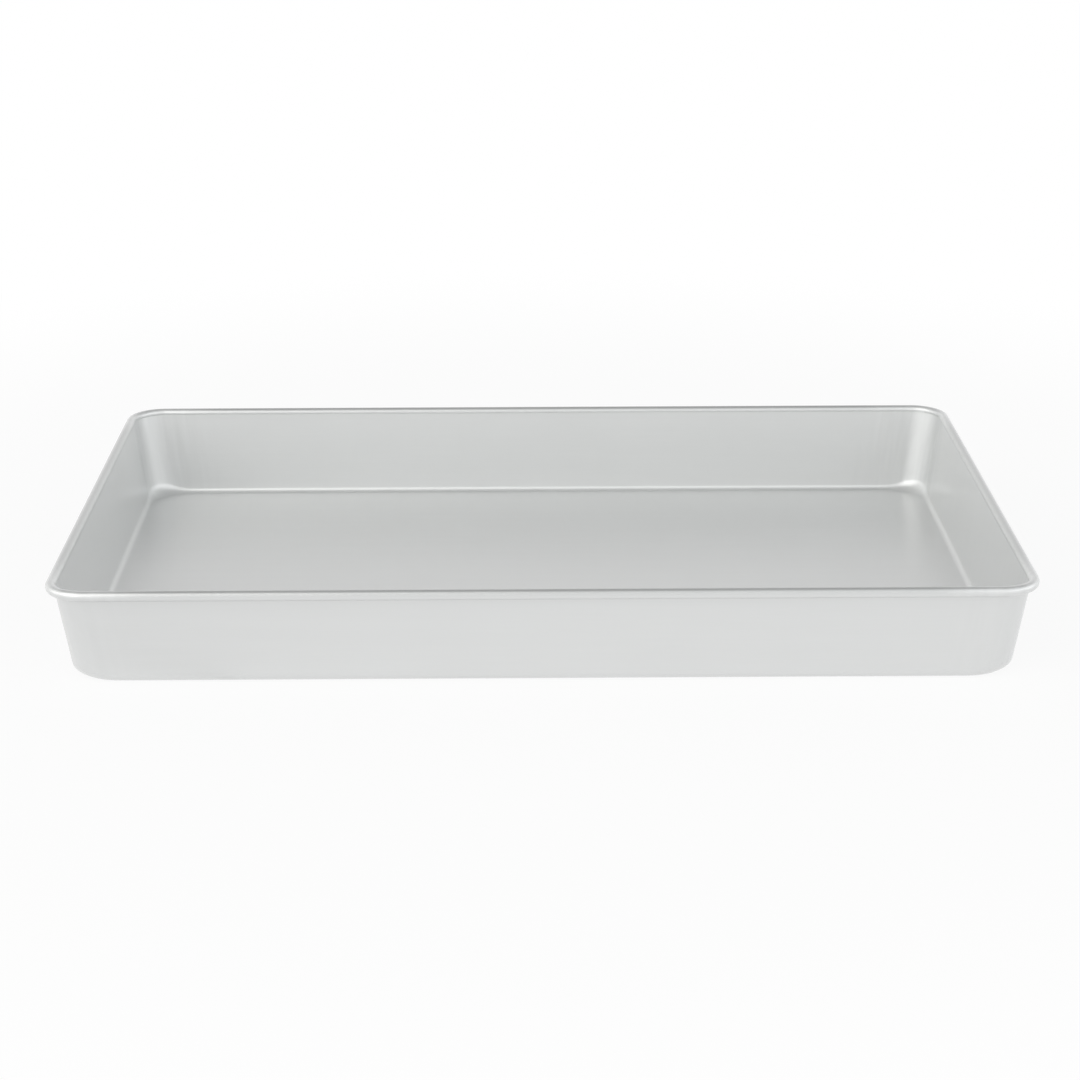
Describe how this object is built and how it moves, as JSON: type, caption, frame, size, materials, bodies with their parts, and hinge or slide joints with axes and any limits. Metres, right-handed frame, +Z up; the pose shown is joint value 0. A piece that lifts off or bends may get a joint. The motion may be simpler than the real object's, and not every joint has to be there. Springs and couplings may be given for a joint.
{
  "type": "rectangular cake pan",
  "caption": "Long shallow baking pan drawn from one aluminium sheet, with leaning walls, rounded corners, a flat floor and a rolled rim that holds a stiffening wire.",
  "frame": {"origin": "middle of the flat face that the pan stands on", "axes": "+X along the pan's length, +Y across it towards the back, +Z up through the open mouth"},
  "size_m": [0.467, 0.3144, 0.0485],
  "materials": {
    "satin_aluminium": "satin anodised, fine rolling grain along the length",
    "drawn_steel_wire": "zinc coated drawn wire, hidden in the rolled rim"
  },
  "bodies": {
    "root": {"pan_body": "satin_aluminium", "rim_wire": "drawn_steel_wire"}
  },
  "joints": []
}
